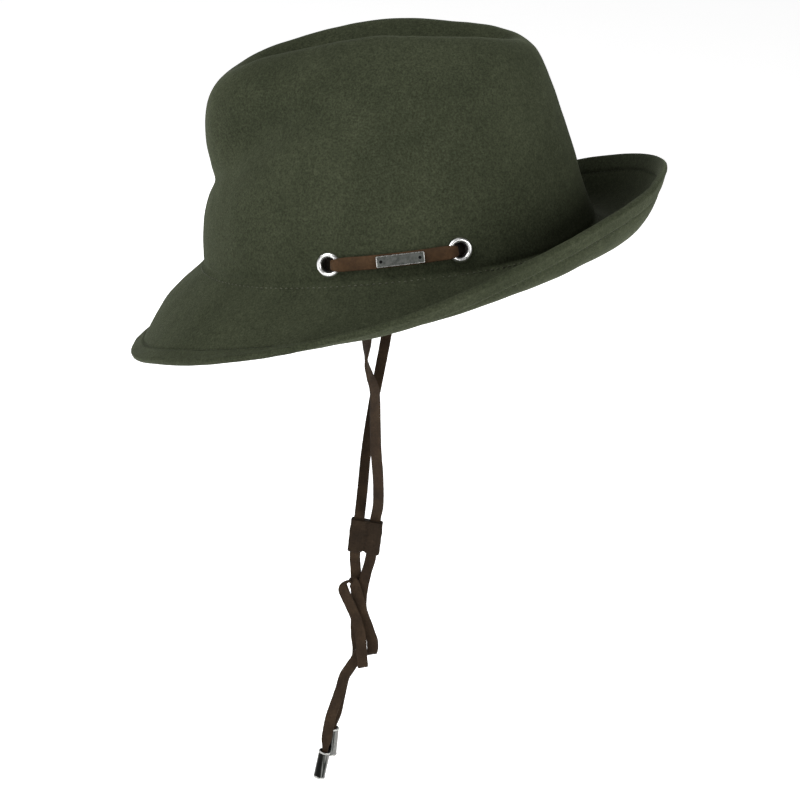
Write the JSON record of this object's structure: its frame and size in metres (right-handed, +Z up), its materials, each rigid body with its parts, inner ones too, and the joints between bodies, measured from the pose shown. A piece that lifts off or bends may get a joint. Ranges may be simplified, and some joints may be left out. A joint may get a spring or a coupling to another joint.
{
  "type": "felt bush hat",
  "caption": "Dark olive felt hat with a creased, pinched crown and a snap brim, a leather lace and metal plate on its side, and a leather chin lace with a slider and metal tips.",
  "frame": {"origin": "middle of the head opening, where the hat sits on a head", "axes": "the hat faces -Y, the wearer's left is +X and up is +Z; the chin lace hangs straight down along -Z and the hat tips 12.9 degrees forward, as it is worn in the picture"},
  "size_m": [0.259, 0.2661, 0.4278],
  "materials": {
    "felt": "matt wool felt",
    "band_leather": "smooth",
    "side_leather": "waxed suede",
    "chin_leather": "suede",
    "bright_metal": "polished",
    "plate_metal": "antique satin"
  },
  "bodies": {
    "root": {"felt_body": "felt", "sweatband": "band_leather", "eyelet_front": "bright_metal", "eyelet_rear": "bright_metal", "side_lace": "side_leather", "plate": "plate_metal", "chin_lace_back": "chin_leather", "chin_lace_left": "chin_leather", "chin_lace_right": "chin_leather", "slider": "chin_leather", "tip_left": "bright_metal", "tip_right": "bright_metal"}
  },
  "joints": []
}
